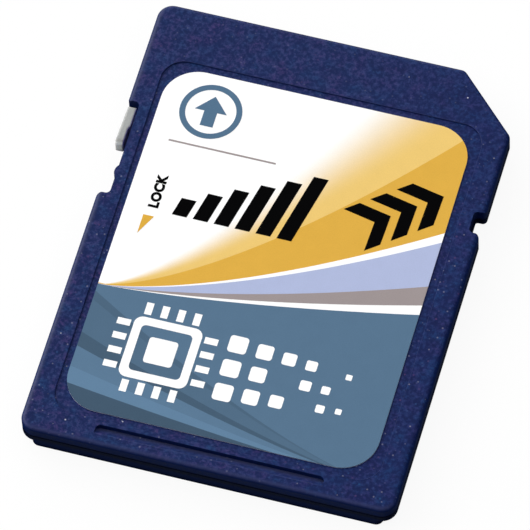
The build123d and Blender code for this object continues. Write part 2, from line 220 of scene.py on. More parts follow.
class Wiring:
    """Adds nodes to one node tree, in columns from left to right, and wires them."""

    def __init__(self, tree):
        self.tree = tree
        self.count = 0

    def add(self, kind, **settings):
        """A new node with the given settings."""
        node = self.tree.nodes.new(kind)
        node.location = (200 * (self.count // 5), -220 * (self.count % 5))
        self.count += 1
        for name, value in settings.items():
            setattr(node, name, value)
        return node

    def feed(self, socket, value):
        """Links an output to a socket, or sets the socket to a number or a colour."""
        if isinstance(value, bpy.types.NodeSocket):
            self.tree.links.new(value, socket)
        elif hasattr(value, "__len__") and len(socket.default_value) == len(value) + 1:
            socket.default_value = (*value, 1.0)
        else:
            socket.default_value = value

    def math(self, operation, first, second=0.0):
        """The result of one sum."""
        node = self.add("ShaderNodeMath", operation=operation)
        self.feed(node.inputs[0], first)
        self.feed(node.inputs[1], second)
        return node.outputs[0]

    def times(self, first, second):
        """The product of two numbers."""
        return self.math("MULTIPLY", first, second)

    def span(self, value, low, high, to_low=0.0, to_high=1.0, smooth=False):
        """A number taken from one range to another and kept within it."""
        kind = "SMOOTHSTEP" if smooth else "LINEAR"
        node = self.add("ShaderNodeMapRange", interpolation_type=kind, clamp=True)
        for name, number in (("Value", value), ("From Min", low), ("From Max", high),
                             ("To Min", to_low), ("To Max", to_high)):
            self.feed(node.inputs[name], number)
        return node.outputs["Result"]

    def mix(self, mask, first, second, blend="MIX"):
        """The first colour where the mask is zero and the second, blended in, where it is one."""
        node = self.add("ShaderNodeMix", data_type="RGBA", blend_type=blend)
        self.feed(node.inputs[0], mask)
        self.feed(node.inputs[6], first)
        self.feed(node.inputs[7], second)
        return node.outputs[2]

    def choose(self, factor, first, second):
        """The first shader where the factor is zero and the second where it is one."""
        node = self.add("ShaderNodeMixShader")
        for socket, value in zip(node.inputs, (factor, first, second)):
            self.feed(socket, value)
        return node.outputs[0]

    def shade(self, colour, tone):
        """A colour, or a place, times one number."""
        node = self.add("ShaderNodeVectorMath", operation="SCALE")
        self.feed(node.inputs[0], colour)
        self.feed(node.inputs["Scale"], tone)
        return node.outputs[0]

    def noise(self, place, scale, detail, roughness):
        """Soft noise between zero and one."""
        node = self.add("ShaderNodeTexNoise")
        self.feed(node.inputs["Vector"], place)
        self.feed(node.inputs["Scale"], scale)
        self.feed(node.inputs["Detail"], detail)
        self.feed(node.inputs["Roughness"], roughness)
        return node.outputs["Fac"]

    def place(self, kind="Object"):
        """Where a point lies on its piece."""
        return self.add("ShaderNodeTexCoord").outputs[kind]

    def axes(self, vector):
        """The three parts of a vector."""
        node = self.add("ShaderNodeSeparateXYZ")
        self.feed(node.inputs[0], vector)
        return node.outputs

    def millimetres(self, place):
        """The three parts of a place, in millimetres."""
        return self.axes(self.shade(place, 1.0 / MM))

    def facing(self):
        """The three parts of the direction that a surface faces."""
        return self.axes(self.add("ShaderNodeNewGeometry").outputs["Normal"])

    def use(self, group, **inputs):
        """The outputs of a node group that gets the given inputs."""
        node = self.add("ShaderNodeGroup", node_tree=group)
        for name, value in inputs.items():
            self.feed(node.inputs[name.replace("_", " ").capitalize()], value)
        return node.outputs

    def bump(self, height, depth):
        """A normal that follows a height of the given depth."""
        node = self.add("ShaderNodeBump")
        self.feed(node.inputs["Height"], height)
        node.inputs["Distance"].default_value = depth
        return node.outputs["Normal"]


def start_group(name, inputs, outputs):
    """A new shader node group with its sockets; gives its wiring, its input and its output node."""
    group = bpy.data.node_groups.new(name, "ShaderNodeTree")
    for label, kind, default in inputs:
        socket = group.interface.new_socket(label, in_out="INPUT", socket_type=kind)
        if default is not None:
            socket.default_value = default
    for label, kind in outputs:
        group.interface.new_socket(label, in_out="OUTPUT", socket_type=kind)
    wiring = Wiring(group)
    return group, wiring, wiring.add("NodeGroupInput").outputs, wiring.add("NodeGroupOutput").inputs


def moulded_grain():
    """Grain that a spark eroded mould leaves on plastic: a tone round one and a height."""
    if "moulded_grain" in bpy.data.node_groups:
        return bpy.data.node_groups["moulded_grain"]
    group, wiring, given, gives = start_group(
        "moulded_grain",
        [("Place", "NodeSocketVector", None), ("Grains", "NodeSocketFloat", 9000.0),
         ("Contrast", "NodeSocketFloat", 0.3)],
        [("Tone", "NodeSocketFloat"), ("Height", "NodeSocketFloat")])
    fine = wiring.noise(given["Place"], given["Grains"], 2.0, 0.6)
    cloud = wiring.noise(given["Place"], wiring.times(given["Grains"], 0.17), 2.0, 0.5)
    fine_part = wiring.times(wiring.math("SUBTRACT", fine, 0.5), 2.6)
    cloud_part = wiring.times(wiring.math("SUBTRACT", cloud, 0.5), 0.9)
    swing = wiring.times(wiring.math("ADD", fine_part, cloud_part), given["Contrast"])
    wiring.feed(gives["Tone"], wiring.math("ADD", swing, 1.0))
    wiring.feed(gives["Height"], fine)
    return group


def dust_specks():
    """Scattered specks: a mask and a random number for each speck."""
    if "dust_specks" in bpy.data.node_groups:
        return bpy.data.node_groups["dust_specks"]
    group, wiring, given, gives = start_group(
        "dust_specks",
        [("Place", "NodeSocketVector", None), ("Cells", "NodeSocketFloat", 1500.0),
         ("Share", "NodeSocketFloat", 0.2), ("Size", "NodeSocketFloat", 0.15)],
        [("Mask", "NodeSocketFloat"), ("Chance", "NodeSocketFloat")])
    cells = wiring.add("ShaderNodeTexVoronoi", feature="F1", voronoi_dimensions="3D")
    wiring.feed(cells.inputs["Vector"], given["Place"])
    wiring.feed(cells.inputs["Scale"], given["Cells"])
    tint = wiring.add("ShaderNodeSeparateColor")
    wiring.feed(tint.inputs[0], cells.outputs["Color"])
    near = wiring.span(cells.outputs["Distance"], wiring.times(given["Size"], 0.5), given["Size"],
                       1.0, 0.0, smooth=True)
    chosen = wiring.math("LESS_THAN", tint.outputs[0], given["Share"])
    wiring.feed(gives["Mask"], wiring.times(near, chosen))
    wiring.feed(gives["Chance"], tint.outputs[1])
    return group


def print_grain():
    """Fine unevenness of print and its film: a tone round one and a height."""
    if "print_grain" in bpy.data.node_groups:
        return bpy.data.node_groups["print_grain"]
    group, wiring, given, gives = start_group(
        "print_grain",
        [("Place", "NodeSocketVector", None), ("Contrast", "NodeSocketFloat", 0.1)],
        [("Tone", "NodeSocketFloat"), ("Height", "NodeSocketFloat")])
    dots = wiring.noise(given["Place"], 14000.0, 1.0, 0.5)
    cloud = wiring.noise(given["Place"], 900.0, 3.0, 0.55)
    swing = wiring.math("ADD", wiring.times(wiring.math("SUBTRACT", dots, 0.5), 1.2),
                        wiring.times(wiring.math("SUBTRACT", cloud, 0.5), 0.6))
    wiring.feed(gives["Tone"], wiring.math("ADD", wiring.times(swing, given["Contrast"]), 1.0))
    wiring.feed(gives["Height"], cloud)
    return group


def wipe_marks():
    """Fine marks along the card that a socket's springs wipe into plated metal."""
    if "wipe_marks" in bpy.data.node_groups:
        return bpy.data.node_groups["wipe_marks"]
    group, wiring, given, gives = start_group(
        "wipe_marks",
        [("Place", "NodeSocketVector", None), ("Marks", "NodeSocketFloat", 9000.0)],
        [("Mask", "NodeSocketFloat"), ("Height", "NodeSocketFloat")])
    along = wiring.add("ShaderNodeMapping")
    wiring.feed(along.inputs["Vector"], given["Place"])
    along.inputs["Scale"].default_value = (1.0, 0.035, 1.0)
    lines = wiring.noise(along.outputs[0], given["Marks"], 3.0, 0.6)
    wiring.feed(gives["Mask"], wiring.span(lines, 0.45, 0.72, 0.0, 1.0, smooth=True))
    wiring.feed(gives["Height"], lines)
    return group


def start_finish(name, specular, metallic=0.0):
    """A new material with one shader; gives the material, its wiring and the shader's inputs."""
    material = bpy.data.materials.new(name)
    material.use_nodes = True
    material.node_tree.nodes.clear()
    wiring = Wiring(material.node_tree)
    shader = wiring.add("ShaderNodeBsdfPrincipled")
    leave = wiring.add("ShaderNodeOutputMaterial")
    wiring.feed(leave.inputs["Surface"], shader.outputs[0])
    shader.inputs["Specular IOR Level"].default_value = specular
    shader.inputs["Metallic"].default_value = metallic
    return material, wiring, shader.inputs


def surface(wiring, skin, colour, height, roughness, depth):
    """Gives a shader its colour, and a roughness between two values and a bump that follow one height."""
    wiring.feed(skin["Base Color"], colour)
    wiring.feed(skin["Roughness"], wiring.span(height, 0.3, 0.7, *roughness))
    wiring.feed(skin["Normal"], wiring.bump(height, depth))


def seam_shade(wiring, z, facing):
    """Painted shade: a tone that darkens the seam between the covers and the foot of the walls."""
    from_seam = wiring.math("ABSOLUTE", wiring.math("SUBTRACT", z, SEAM - 0.06))
    upright = wiring.span(facing["Z"], -0.9, -0.5)
    foot = wiring.times(wiring.span(z, 0.1, 0.5, FOOT_SHADE_LOSS, 0.0), upright)
    seam = wiring.span(from_seam, 0.14, 0.34, SEAM_SHADE_TONE, 1.0)
    return wiring.times(seam, wiring.math("SUBTRACT", 1.0, foot))


def frost_and_far_shade(wiring, x, navy, ground, ridges):
    """Colour of the ground with frost on its ridges, and with painted shade that deepens towards the far long
    side.
    """
    frosted = wiring.mix(wiring.span(ridges, 0.44, 0.78), ground, navy * 1.45 + FROST)
    # Painted shade: the colour darkens towards the far long side, where less light falls.
    far_side_shade = wiring.mix(wiring.span(x, 0.0, 9.5), (1.0, 1.0, 1.0), FAR_SIDE_SHADE)
    return wiring.mix(1.0, frosted, far_side_shade, "MULTIPLY")


def flecked_top(wiring, place, navy, frosted, handled):
    """Colour of the top: flecks in the frost, and a slow drift between a cool and a warm tint."""
    flecks = wiring.use(dust_specks(), place=place, cells=3300.0, share=0.38, size=0.30)
    fleck = wiring.mix(flecks["Chance"], navy * 1.15 + VIOLET_FLECK, navy * 1.2 + BLUE_FLECK)
    shown = wiring.times(flecks["Mask"], wiring.span(handled, 0.0, 1.0, 0.5, 0.95))
    flecked = wiring.mix(shown, frosted, fleck)
    reach = wiring.span(handled, 0.0, 1.0, 0.23, 0.16)
    drift = wiring.span(wiring.noise(place, 1050.0, 2.0, 0.55), wiring.math("SUBTRACT", 0.5, reach),
                        wiring.math("ADD", 0.5, reach))
    return wiring.mix(1.0, flecked, wiring.mix(drift, COOL_DRIFT, WARM_DRIFT), "MULTIPLY")


def lay_dust(wiring, place, colour, dust, handled):
    """Colour under a haze of fine dust and single specks, both thicker where the card is handled."""
    haze = wiring.use(dust_specks(), place=place, cells=2300.0, share=0.55, size=0.17)
    thickness = wiring.span(handled, 0.0, 1.0, 0.045, 0.15)
    hazy = wiring.mix(wiring.times(haze["Mask"], thickness), colour, dust)
    share = wiring.span(handled, 0.0, 1.0, 0.10, 0.30)
    specks = wiring.use(dust_specks(), place=place, cells=1500.0, share=share, size=0.10)
    speck = wiring.mix(specks["Chance"], dust * 0.25, dust)
    return wiring.mix(wiring.times(specks["Mask"], 0.7), hazy, speck)


def shell_plastic(name, navy, shell):
    """Navy moulded plastic with grain and dust on top, with painted shade in its seam, at the walls' foot and
    towards the far side, and painted highlights and sheen along its edges and in the nail catch.
    """
    material, wiring, skin = start_finish(name, 0.12)
    place = wiring.place()
    x, y, z = wiring.millimetres(place)
    facing = wiring.facing()
    grain = wiring.use(moulded_grain(), place=place, grains=1.0 / shell.grain_size,
                       contrast=shell.grain_contrast)
    ground = wiring.shade(navy, grain["Tone"])
    at_grip_end = wiring.times(wiring.math("LESS_THAN", y, LABEL_FOOT - 0.55),
                               wiring.math("GREATER_THAN", y, FRONT + 0.5))
    in_catch = wiring.times(wiring.span(z, TOP - 0.42, TOP - 0.10, 1.0, 0.0), at_grip_end)
    handled = wiring.span(y, LABEL_HEAD - 6.0, LABEL_HEAD + 1.0, 1.0, 0.0)
    frosted = frost_and_far_shade(wiring, x, navy, ground, grain["Height"])
    flecked = flecked_top(wiring, place, navy, frosted, handled)
    # Painted sheen: the ramp of the nail catch gets a lighter colour.
    top = wiring.mix(in_catch, flecked, wiring.shade(CATCH_SHEEN, grain["Tone"]))
    dusty = lay_dust(wiring, place, top, Vector(shell.dust), handled)
    forward = wiring.math("MAXIMUM", wiring.times(facing["Y"], -1.0), 0.0)
    # Painted highlight along the left edge's rounding, and painted sheen on the front edge's rounding.
    side_highlighted = wiring.mix(wiring.span(x, LEFT + 0.2, LEFT + 0.45, 0.5, 0.0), dusty, SIDE_PAINTED_HIGHLIGHT)
    edges_highlighted = wiring.mix(wiring.span(forward, 0.0, 0.5, 0.0, 0.55), side_highlighted, FRONT_PAINTED_SHEEN)
    lifted = wiring.math("ADD", facing["Z"], wiring.times(forward, 0.25))
    upward = wiring.times(wiring.math("GREATER_THAN", z, SEAM + 0.2), wiring.span(lifted, 0.55, 0.9))
    # Painted shade in the seam and at the walls' foot.
    colour = wiring.shade(wiring.mix(upward, ground, edges_highlighted), seam_shade(wiring, z, facing))
    surface(wiring, skin, colour, grain["Height"], (shell.roughness - 0.08, shell.roughness + 0.08),
            shell.grain_depth)
    return material


def slider_plastic(shell):
    """Light grey satin plastic of the lock slider, with painted light at its end and painted violet shade in
    the gap behind it.
    """
    material, wiring, skin = start_finish("slider_grey_moulded", 0.2)
    skin["Subsurface Weight"].default_value = 0.6
    skin["Subsurface Radius"].default_value = (1.0, 0.95, 0.9)
    skin["Subsurface Scale"].default_value = 0.4 * MM
    place = wiring.place()
    grain = wiring.use(moulded_grain(), place=place, grains=12000.0, contrast=0.10)
    dust = wiring.use(dust_specks(), place=place, cells=1900.0, share=0.2, size=0.12)
    along = wiring.millimetres(place)["Y"]
    # Painted light: the slider's end is made paler.
    lit_end = wiring.span(along, SLIDER_FOOT + 0.02, SLIDER_FOOT + 0.18, END_PAINTED_LIGHT, 1.0)
    grey = wiring.shade(Vector(shell.slider_grey), wiring.times(grain["Tone"], lit_end))
    dusty = wiring.mix(wiring.times(dust["Mask"], 0.4), grey, screen(120, 116, 108))
    # Painted shade: the slider's inner flank turns dark violet, as in the shaded gap behind it.
    inner = wiring.span(wiring.facing()["X"], 0.4, 0.8, 0.0, 0.8)
    surface(wiring, skin, wiring.mix(inner, dusty, GAP_PAINTED_SHADE), grain["Height"], (0.42, 0.56), 0.003 * MM)
    return material


def fan(wiring, across, height, foot, bend):
    """How far a point lies up a fan of curves that start together: the height reached at the far side."""
    spread = wiring.math("POWER", wiring.math("MAXIMUM", across, 0.0), bend)
    rise = wiring.math("SUBTRACT", height, foot)
    return wiring.math("DIVIDE", rise, wiring.math("MAXIMUM", spread, 0.004))


def bands(wiring, value, top, stops):
    """Colours in bands with sharp borders, by value from nothing to top."""
    ramp = wiring.add("ShaderNodeValToRGB")
    wiring.feed(ramp.inputs["Fac"], wiring.math("DIVIDE", value, top))
    colours = ramp.color_ramp
    colours.interpolation = "CONSTANT"
    while len(colours.elements) < len(stops):
        colours.elements.new(1.0)
    for element, (start, colour) in zip(colours.elements, stops):
        element.position = start / top
        element.color = (*colour, 1.0)
    return ramp.outputs["Color"]


def label_film(label):
    """Printed film: white ground, sweeping fields of colour and a slate lower field."""
    material, wiring, skin = start_finish("label_printed_film", 0.08)
    place = wiring.place()
    x, y, z = wiring.millimetres(place)
    across = wiring.math("DIVIDE", wiring.math("SUBTRACT", x, LABEL_LEFT), LABEL_WIDTH)
    sweep = fan(wiring, across, y, label.sweep_foot / MM, label.sweep_bend)
    paper = tuple(label.paper)
    slate_top, gold_top = 2.9, 16.6
    fields = bands(wiring, sweep, 30.0, [
        (0.0, tuple(label.slate)), (slate_top, paper), (3.6, tuple(label.warm_grey)),
        (5.0, tuple(label.lavender)), (8.3, paper), (9.0, tuple(label.gold)), (gold_top, paper)])
    fade = wiring.times(wiring.span(sweep, 18.5, 32.0, 1.0, 0.0, smooth=True),
                        wiring.math("GREATER_THAN", sweep, gold_top))
    sky = wiring.mix(fade, fields, tuple(label.pale_gold))
    counter = fan(wiring, wiring.math("SUBTRACT", 1.0, across), y, LABEL_FOOT - 0.4, 1.35)
    slate = Vector(label.slate)
    lower = bands(wiring, counter, 20.0, [
        (0.0, slate * 0.55), (1.9, slate * 1.28), (3.1, slate * 1.10), (4.6, slate * 0.62),
        (5.6, slate * 0.86), (8.0, slate * 0.75), (8.6, slate)])
    printed = wiring.mix(wiring.math("LESS_THAN", sweep, slate_top), sky, lower)
    grain = wiring.use(print_grain(), place=place, contrast=0.12)
    dust = wiring.use(dust_specks(), place=place, cells=700.0, share=0.05, size=0.07)
    tinted = wiring.mix(wiring.times(dust["Mask"], 0.35), wiring.shade(printed, grain["Tone"]),
                        screen(150, 148, 150))
    below = wiring.math("LESS_THAN", z, LABEL_FACE - 0.012)
    colour = wiring.mix(below, tinted, tuple(label.film_edge))
    surface(wiring, skin, colour, grain["Height"], (0.36, 0.48), 0.004 * MM)
    return material


def label_ink(name, colour):
    """Ink of one colour, printed on the label film."""
    if name in bpy.data.materials:
        return bpy.data.materials[name]
    material, wiring, skin = start_finish(name, 0.01)
    grain = wiring.use(print_grain(), place=wiring.place(), contrast=0.14)
    toned = wiring.shade(Vector(colour), grain["Tone"])
    surface(wiring, skin, toned, grain["Height"], (0.38, 0.52), 0.003 * MM)
    return material


def gold_plate(inside):
    """Gold plating with marks where springs have wiped along it."""
    material, wiring, skin = start_finish("contact_gold_plate", 0.5, 1.0)
    place = wiring.place()
    marks = wiring.use(wipe_marks(), place=place, marks=9000.0)
    tone = wiring.noise(place, 1300.0, 3.0, 0.6)
    gold = wiring.shade(Vector(inside.gold_plate), wiring.span(tone, 0.3, 0.7, 0.88, 1.06))
    wiped = wiring.mix(wiring.times(marks["Mask"], 0.22), gold, screen(250, 222, 160))
    wiring.feed(skin["Base Color"], wiped)
    wiring.feed(skin["Roughness"], wiring.span(marks["Mask"], 0.0, 1.0, 0.24, 0.40))
    wiring.feed(skin["Normal"], wiring.bump(marks["Height"], 0.0015 * MM))
    return material


def board_lacquer(inside):
    """Green solder lacquer with the glass weave under it."""
    material, wiring, skin = start_finish("board_green_lacquer", 0.5)
    place = wiring.place()
    grain = wiring.use(moulded_grain(), place=place, grains=5200.0, contrast=0.16)
    weave = wiring.add("ShaderNodeTexChecker")
    wiring.feed(weave.inputs["Vector"], place)
    weave.inputs["Scale"].default_value = 2400.0
    thread = wiring.span(weave.outputs["Fac"], 0.0, 1.0, 0.93, 1.05)
    lacquer = wiring.shade(Vector(inside.lacquer), wiring.times(grain["Tone"], thread))
    surface(wiring, skin, lacquer, grain["Height"], (0.26, 0.40), 0.004 * MM)
    return material


def package_epoxy(inside):
    """Black moulded epoxy of the chip packages."""
    material, wiring, skin = start_finish("package_black_epoxy", 0.35)
    place = wiring.place()
    grain = wiring.use(moulded_grain(), place=place, grains=11000.0, contrast=0.30)
    flecks = wiring.use(dust_specks(), place=place, cells=5200.0, share=0.25, size=0.2)
    ground = wiring.shade(Vector(inside.epoxy), grain["Tone"])
    colour = wiring.mix(wiring.times(flecks["Mask"], 0.5), ground, screen(74, 74, 78))
    surface(wiring, skin, colour, grain["Height"], (0.52, 0.70), 0.004 * MM)
    return material


def tinned_lead(inside):
    """Tinned metal with a frosted, slightly wiped surface."""
    material, wiring, skin = start_finish("lead_tinned", 0.5, 1.0)
    place = wiring.place()
    marks = wiring.use(wipe_marks(), place=place, marks=16000.0)
    frost = wiring.noise(place, 9000.0, 3.0, 0.6)
    tin = wiring.shade(Vector(inside.tin), wiring.span(frost, 0.3, 0.7, 0.84, 1.0))
    wiring.feed(skin["Base Color"], tin)
    wiring.feed(skin["Roughness"], wiring.span(marks["Mask"], 0.0, 1.0, 0.34, 0.48))
    wiring.feed(skin["Normal"], wiring.bump(frost, 0.002 * MM))
    return material


def chip_ceramic(name, colour, tin, cap):
    """Fired ceramic of a small component, with tinned caps at both ends of its own length."""
    material, wiring, skin = start_finish(name, 0.45)
    grain = wiring.use(moulded_grain(), place=wiring.place(), grains=13000.0, contrast=0.18)
    along = wiring.axes(wiring.place("Generated"))["X"]
    from_middle = wiring.math("ABSOLUTE", wiring.math("SUBTRACT", along, 0.5))
    ends = wiring.math("GREATER_THAN", from_middle, 0.5 - cap)
    body = wiring.mix(ends, Vector(colour), Vector(tin))
    surface(wiring, skin, wiring.shade(body, grain["Tone"]), grain["Height"], (0.38, 0.54), 0.002 * MM)
    wiring.feed(skin["Metallic"], ends)
    return material


def dress(material, *names):
    """Gives one finish to the named pieces of the frame."""
    for name in names:
        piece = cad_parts[name]
        if not piece.material_slots:
            piece.data.materials.append(material)
        for slot in piece.material_slots:
            slot.material = material


def nodes_named(start):
    """The frame's pieces whose name starts so, in order."""
    return sorted(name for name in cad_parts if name.startswith(start))


def rounded_box(centre, width, height, radius=0.0, steps=5):
    """Outline of a box with rounded corners, in millimetres."""
    if radius == 0.0:
        corners = ((1, 1), (-1, 1), (-1, -1), (1, -1))
        return [(centre[0] + a * width / 2, centre[1] + b * height / 2) for a, b in corners]
    points = []
    for turn, (a, b) in enumerate(((1, 1), (-1, 1), (-1, -1), (1, -1))):
        middle = (centre[0] + a * (width / 2 - radius), centre[1] + b * (height / 2 - radius))
        for step in range(steps + 1):
            angle = math.pi / 2 * (turn + step / steps)
            points.append((middle[0] + radius * math.cos(angle), middle[1] + radius * math.sin(angle)))
    return points


def ring(centre, radius, steps=48):
    """Outline of a circle, in millimetres."""
    turns = (2 * math.pi * step / steps for step in range(steps))
    return [(centre[0] + radius * math.cos(turn), centre[1] + radius * math.sin(turn)) for turn in turns]


def turned(points, angle, centre):
    """Points turned about the origin and set down at a centre."""
    c, s = math.cos(angle), math.sin(angle)
    return [(centre[0] + c * x - s * y, centre[1] + s * x + c * y) for x, y in points]


def lay_ink(name, drawing, material, height):
    """Turns a flat drawing into a closed skin of ink on the label that moves with the card."""
    thickness = height + INK_SINK
    drawing.extrude = thickness / 2
    holder = bpy.data.objects.new(name + "_drawing", drawing)
    mesh = bpy.data.meshes.new_from_object(holder)
    bpy.data.objects.remove(holder)
    bpy.data.curves.remove(drawing)
    skin = bmesh.new()
    skin.from_mesh(mesh)
    bmesh.ops.remove_doubles(skin, verts=skin.verts, dist=1e-4)
    bmesh.ops.recalc_face_normals(skin, faces=skin.faces)
    if not all(edge.is_manifold for edge in skin.edges):
        raise RuntimeError(name + " is not a closed skin of ink")
    bmesh.ops.translate(skin, verts=skin.verts, vec=(0.0, 0.0, LABEL_FACE + thickness / 2 - INK_SINK))
    bmesh.ops.scale(skin, verts=skin.verts, vec=(MM, MM, MM))
    skin.to_mesh(mesh)
    skin.free()
    mesh.name = name
    mesh.materials.clear()
    mesh.materials.append(material)
    piece = bpy.data.objects.new(name, mesh)
    bpy.context.scene.collection.objects.link(piece)
    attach(piece, "card")
    return piece


def ink_shapes(name, outlines, material, height):
    """One piece of ink from closed outlines in millimetres; an outline inside another is a hole."""
    drawing = bpy.data.curves.new(name, "CURVE")
    drawing.dimensions = "2D"
    drawing.fill_mode = "BOTH"
    for outline in outlines:
        spline = drawing.splines.new("POLY")
        spline.points.add(len(outline) - 1)
        for point, (x, y) in zip(spline.points, outline):
            point.co = (x, y, 0.0, 1.0)
        spline.use_cyclic_u = True
    return lay_ink(name, drawing, material, height)


class MEMORY_CARD_OT_shell(bpy.types.Operator):
    """Finish the front and back cover in moulded navy plastic"""

    bl_idname = "memory_card.shell"
    bl_label = "Shell"

    def execute(self, context):
        shell = context.scene.card_looks.shell
        navy = Vector(shell.navy)
        dress(shell_plastic("front_navy_moulded", navy, shell), "front_cover")
        # The back cover gets a darker copy of the navy: painted shade on the lower walls.
        dress(shell_plastic("back_navy_moulded", navy * 0.7, shell), "back_cover")
        return {"FINISHED"}


class MEMORY_CARD_OT_slider(bpy.types.Operator):
    """Finish the lock slider in light grey plastic"""

    bl_idname = "memory_card.slider"
    bl_label = "Lock slider"

    def execute(self, context):
        dress(slider_plastic(context.scene.card_looks.shell), "lock_slider")
        return {"FINISHED"}


class MEMORY_CARD_OT_label(bpy.types.Operator):
    """Print the label's fields of colour"""

    bl_idname = "memory_card.label"
    bl_label = "Label"

    def execute(self, context):
        dress(label_film(context.scene.card_looks.label), "label")
        return {"FINISHED"}


class MEMORY_CARD_OT_insertion_arrow(bpy.types.Operator):
    """Print the arrow that shows which end goes into a slot"""

    bl_idname = "memory_card.insertion_arrow"
    bl_label = "Insertion arrow"

    def execute(self, context):
        label = context.scene.card_looks.label
        height = label.ink_height / MM
        slate = label_ink("ink_slate", label.slate)
        middle, outer, inner = (-6.7, 8.85), 2.0, 1.62
        tip, foot, wing, stem = 1.15, -1.1, 1.05, 0.42
        arrow = [(0.0, tip), (wing, 0.0), (stem, 0.0), (stem, foot), (-stem, foot), (-stem, 0.0),
                 (-wing, 0.0)]
        outlines = [ring(middle, outer), ring(middle, inner), turned(arrow, 0.0, middle)]
        ink_shapes("insertion_arrow", outlines, slate, height)
        grey = label_ink("ink_warm_grey", label.warm_grey)
        rule = rounded_box((-5.2, 6.2), 7.0, 0.12)
        ink_shapes("rule_line", [rule], grey, height)
        return {"FINISHED"}


class MEMORY_CARD_OT_level_bars(bpy.types.Operator):
    """Print the row of rising black level bars"""

    bl_idname = "memory_card.level_bars"
    bl_label = "Level bars"

    def execute(self, context):
        label = context.scene.card_looks.label
        black = label_ink("ink_black", label.black)
        lean, foot, start = 0.22, 1.0, -7.0
        shortest, rise = 1.3, 0.72
        width, pitch = label.bar_width / MM, label.bar_pitch / MM
        outlines = []
        for bar in range(label.bar_count):
            left, tall = start + bar * pitch, shortest + rise * bar
            outlines.append([(left, foot), (left + width, foot), (left + width + lean * tall, foot + tall),
                             (left + lean * tall, foot + tall)])
        ink_shapes("level_bars", outlines, black, label.ink_height / MM)
        return {"FINISHED"}


class MEMORY_CARD_OT_chevrons(bpy.types.Operator):
    """Print the three black chevrons that follow the gold sweep"""

    bl_idname = "memory_card.chevrons"
    bl_label = "Chevrons"

    def execute(self, context):
        label = context.scene.card_looks.label
        black = label_ink("ink_black", label.black)
        half = label.chevron_height / MM / 2
        stroke, reach, step = 1.1, half * 0.85, 1.8
        tilt, middle = math.radians(38.0), (6.6, 4.6)
        chevron = [(-stroke, half), (0.0, half), (reach, 0.0), (0.0, -half), (-stroke, -half),
                   (reach - stroke, 0.0)]
        outlines = [turned([(x + step * place, y) for x, y in chevron], tilt, middle) for place in (-1, 0, 1)]
        ink_shapes("chevrons", outlines, black, label.ink_height / MM)
        return {"FINISHED"}


class MEMORY_CARD_OT_lock_mark(bpy.types.Operator):
    """Print the word beside the lock slider and the triangle that shows its locked end"""

    bl_idname = "memory_card.lock_mark"
    bl_label = "Lock mark"

    def execute(self, context):
        label = context.scene.card_looks.label
        height = label.ink_height / MM
        word = bpy.data.curves.new("lock_word", "FONT")
        word.body = "LOCK"
        word.size = label.lock_letter / MM / CAPITAL_SHARE
        word.offset = 0.05
        word.space_character = 1.08
        word.align_x = "CENTER"
        word.align_y = "CENTER"
        word.resolution_u = 5
        piece = lay_ink("lock_word", word, label_ink("ink_black", label.black), height)
        middle = Vector((-8.25, 2.35, 0.0)) * MM
        piece.data.transform(Matrix.Translation(middle) @ Matrix.Rotation(math.pi / 2, 4, "Z"))
        triangle = [(-8.72, 0.55), (-8.02, 0.55), (-8.72, -0.85)]
        ink_shapes("lock_triangle", [triangle], label_ink("ink_gold", label.gold), height)
        return {"FINISHED"}


class MEMORY_CARD_OT_chip_picture(bpy.types.Operator):
    """Print the white chip and the squares that stream from it"""

    bl_idname = "memory_card.chip_picture"
    bl_label = "Chip picture"

    def execute(self, context):
        label = context.scene.card_looks.label
        white = label_ink("ink_white", label.paper)
        side = label.chip_side / MM
        middle = (-4.9, -8.75)
        window, core = side - 1.1, side * 0.42
        leg_width, leg_length, leg_out, leg_pitch = 0.46, 0.86, 0.62, side * 0.235
        outlines = [rounded_box(middle, side, side, 0.55), rounded_box(middle, window, window, 0.3),
                    rounded_box(middle, core, core, 0.2)]
        for place in (-1.5, -0.5, 0.5, 1.5):
            slide = place * leg_pitch
            for reach in (-side / 2 - leg_out, side / 2 + leg_out):
                outlines.append(rounded_box((middle[0] + slide, middle[1] + reach), leg_width, leg_length))
                outlines.append(rounded_box((middle[0] + reach, middle[1] + slide), leg_length, leg_width))
        ink_shapes("chip_picture", outlines, white, label.ink_height / MM)
        stream = []
        for column, across in enumerate((-0.4, 1.35, 2.95, 4.4, 5.7, 6.85)):
            square = 1.2 - 0.16 * column
            for row in (-1, 0, 1):
                if (column + row) % 3 != 2 or column < 2:
                    spot = (across, middle[1] + row * (1.75 - 0.1 * column))
                    stream.append(rounded_box(spot, square, square, square * 0.18))
        ink_shapes("square_stream", stream, white, label.ink_height / MM)
        return {"FINISHED"}


class MEMORY_CARD_OT_contacts(bpy.types.Operator):
    """Plate the nine contacts with gold"""

    bl_idname = "memory_card.contacts"
    bl_label = "Contacts"

    def execute(self, context):
        dress(gold_plate(context.scene.card_looks.inside), *nodes_named("contact_pad_"))
        return {"FINISHED"}


class MEMORY_CARD_OT_board(bpy.types.Operator):
    """Finish the board, its chip packages and their leads"""

    bl_idname = "memory_card.board"
    bl_label = "Board and chips"

    def execute(self, context):
        inside = context.scene.card_looks.inside
        dress(board_lacquer(inside), "circuit_board")
        dress(package_epoxy(inside), "controller_chip", "flash_chip")
        dress(tinned_lead(inside), "flash_leads")
        return {"FINISHED"}


class MEMORY_CARD_OT_components(bpy.types.Operator):
    """Finish the small capacitors and resistors"""

    bl_idname = "memory_card.components"
    bl_label = "Small components"

    def execute(self, context):
        inside = context.scene.card_looks.inside
        capacitor = chip_ceramic("capacitor_ceramic", inside.capacitor, inside.tin, CAPACITOR_CAP)
        dress(capacitor, *nodes_named("capacitor_"))
        resistor = chip_ceramic("resistor_ceramic", inside.resistor, inside.tin, RESISTOR_CAP)
        dress(resistor, *nodes_named("resistor_"))
        return {"FINISHED"}


